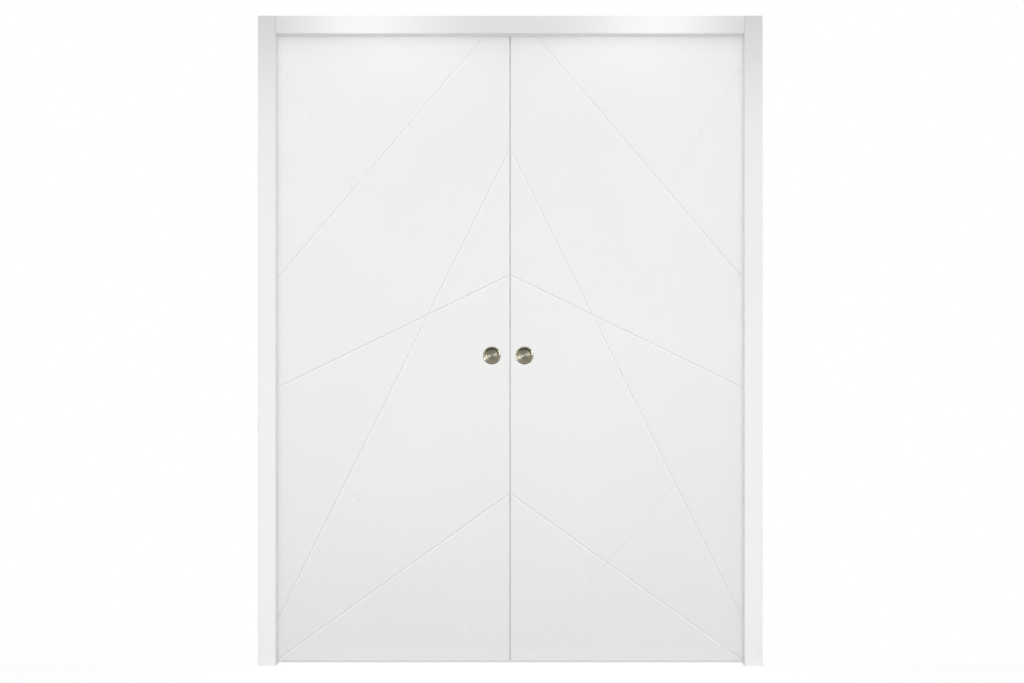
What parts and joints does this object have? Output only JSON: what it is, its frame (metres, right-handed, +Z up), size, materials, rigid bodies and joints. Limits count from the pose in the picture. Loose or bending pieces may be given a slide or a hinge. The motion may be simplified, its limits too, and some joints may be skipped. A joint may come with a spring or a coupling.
{
  "type": "double pocket door",
  "caption": "Cased doorway with paired white V-grooved leaves hung from a top track, which meet in the middle and slide apart into pockets in the wall; round flush pulls.",
  "frame": {"origin": "on the floor, in the middle of the opening and of the wall's thickness", "axes": "+X to the right along the wall, +Y through the wall away from the viewer, +Z up"},
  "size_m": [2.855, 0.148, 2.089],
  "materials": {
    "white_lacquer": "satin white lacquer on board",
    "raw_pine": "planed bare softwood",
    "particle_board": "raw board",
    "extruded_aluminium": "mill finish with drawing lines",
    "zinc_steel": "bright zinc plate",
    "satin_nickel": "spun satin nickel",
    "white_nylon": "natural moulded nylon",
    "black_rubber": "matt rubber"
  },
  "bodies": {
    "frame": {"casing_head_back": "white_lacquer", "casing_head_front": "white_lacquer", "casing_left_back": "white_lacquer", "casing_left_front": "white_lacquer", "casing_right_back": "white_lacquer", "casing_right_front": "white_lacquer", "guide_pads": "white_nylon", "guide_screws": "zinc_steel", "head_batten_back": "raw_pine", "head_batten_front": "raw_pine", "header_bracket_left": "zinc_steel", "header_bracket_right": "zinc_steel", "jamb_head_back": "white_lacquer", "jamb_head_front": "white_lacquer", "jamb_left_back": "white_lacquer", "jamb_left_front": "white_lacquer", "jamb_right_back": "white_lacquer", "jamb_right_front": "white_lacquer", "stop_bumpers": "black_rubber", "track_header": "raw_pine", "track_rail_left": "extruded_aluminium", "track_rail_right": "extruded_aluminium", "track_screws": "zinc_steel", "track_stops": "zinc_steel"},
    "left_leaf": {"left_hanger_bolts": "zinc_steel", "left_hanger_plates": "zinc_steel", "left_hanger_screws": "zinc_steel", "left_leaf_back_skin": "white_lacquer", "left_leaf_bottom_rail": "white_lacquer", "left_leaf_core": "particle_board", "left_leaf_front_skin": "white_lacquer", "left_leaf_lead_stile": "white_lacquer", "left_leaf_top_rail": "white_lacquer", "left_leaf_trail_stile": "white_lacquer", "left_pull_back": "satin_nickel", "left_pull_front": "satin_nickel", "left_trolley_lead": "zinc_steel", "left_trolley_trail": "zinc_steel"},
    "right_leaf": {"right_hanger_bolts": "zinc_steel", "right_hanger_plates": "zinc_steel", "right_hanger_screws": "zinc_steel", "right_leaf_back_skin": "white_lacquer", "right_leaf_bottom_rail": "white_lacquer", "right_leaf_core": "particle_board", "right_leaf_front_skin": "white_lacquer", "right_leaf_lead_stile": "white_lacquer", "right_leaf_top_rail": "white_lacquer", "right_leaf_trail_stile": "white_lacquer", "right_pull_back": "satin_nickel", "right_pull_front": "satin_nickel", "right_trolley_lead": "zinc_steel", "right_trolley_trail": "zinc_steel"},
    "left_wheels_lead_inner": {"left_wheels_lead_inner": "white_nylon"},
    "left_wheels_lead_outer": {"left_wheels_lead_outer": "white_nylon"},
    "left_wheels_trail_inner": {"left_wheels_trail_inner": "white_nylon"},
    "left_wheels_trail_outer": {"left_wheels_trail_outer": "white_nylon"},
    "right_wheels_lead_inner": {"right_wheels_lead_inner": "white_nylon"},
    "right_wheels_lead_outer": {"right_wheels_lead_outer": "white_nylon"},
    "right_wheels_trail_inner": {"right_wheels_trail_inner": "white_nylon"},
    "right_wheels_trail_outer": {"right_wheels_trail_outer": "white_nylon"}
  },
  "joints": [
    {"name": "left_slide", "type": "slide", "parent": "frame", "child": "left_leaf", "axis": [-1, 0, 0], "range_m": [0, 0.65]},
    {"name": "right_slide", "type": "slide", "parent": "frame", "child": "right_leaf", "axis": [1, 0, 0], "range_m": [0, 0.65]},
    {"name": "left_wheels_lead_inner_spin", "type": "hinge", "parent": "left_leaf", "child": "left_wheels_lead_inner", "pos_m": [-0.1215, 0, 2.0568], "axis": [0, 1, 0], "continuous": true},
    {"name": "left_wheels_lead_outer_spin", "type": "hinge", "parent": "left_leaf", "child": "left_wheels_lead_outer", "pos_m": [-0.1615, 0, 2.0568], "axis": [0, 1, 0], "continuous": true},
    {"name": "left_wheels_trail_inner_spin", "type": "hinge", "parent": "left_leaf", "child": "left_wheels_trail_inner", "pos_m": [-0.6035, 0, 2.0568], "axis": [0, 1, 0], "continuous": true},
    {"name": "left_wheels_trail_outer_spin", "type": "hinge", "parent": "left_leaf", "child": "left_wheels_trail_outer", "pos_m": [-0.6435, 0, 2.0568], "axis": [0, 1, 0], "continuous": true},
    {"name": "right_wheels_lead_inner_spin", "type": "hinge", "parent": "right_leaf", "child": "right_wheels_lead_inner", "pos_m": [0.1215, 0, 2.0568], "axis": [0, 1, 0], "continuous": true},
    {"name": "right_wheels_lead_outer_spin", "type": "hinge", "parent": "right_leaf", "child": "right_wheels_lead_outer", "pos_m": [0.1615, 0, 2.0568], "axis": [0, 1, 0], "continuous": true},
    {"name": "right_wheels_trail_inner_spin", "type": "hinge", "parent": "right_leaf", "child": "right_wheels_trail_inner", "pos_m": [0.6035, 0, 2.0568], "axis": [0, 1, 0], "continuous": true},
    {"name": "right_wheels_trail_outer_spin", "type": "hinge", "parent": "right_leaf", "child": "right_wheels_trail_outer", "pos_m": [0.6435, 0, 2.0568], "axis": [0, 1, 0], "continuous": true}
  ],
  "couplings": [
    {"joint": "left_wheels_lead_inner_spin", "follows": "left_slide", "rad_per_m": -90.909},
    {"joint": "left_wheels_lead_outer_spin", "follows": "left_slide", "rad_per_m": -90.909},
    {"joint": "left_wheels_trail_inner_spin", "follows": "left_slide", "rad_per_m": -90.909},
    {"joint": "left_wheels_trail_outer_spin", "follows": "left_slide", "rad_per_m": -90.909},
    {"joint": "right_wheels_lead_inner_spin", "follows": "right_slide", "rad_per_m": 90.909},
    {"joint": "right_wheels_lead_outer_spin", "follows": "right_slide", "rad_per_m": 90.909},
    {"joint": "right_wheels_trail_inner_spin", "follows": "right_slide", "rad_per_m": 90.909},
    {"joint": "right_wheels_trail_outer_spin", "follows": "right_slide", "rad_per_m": 90.909}
  ]
}
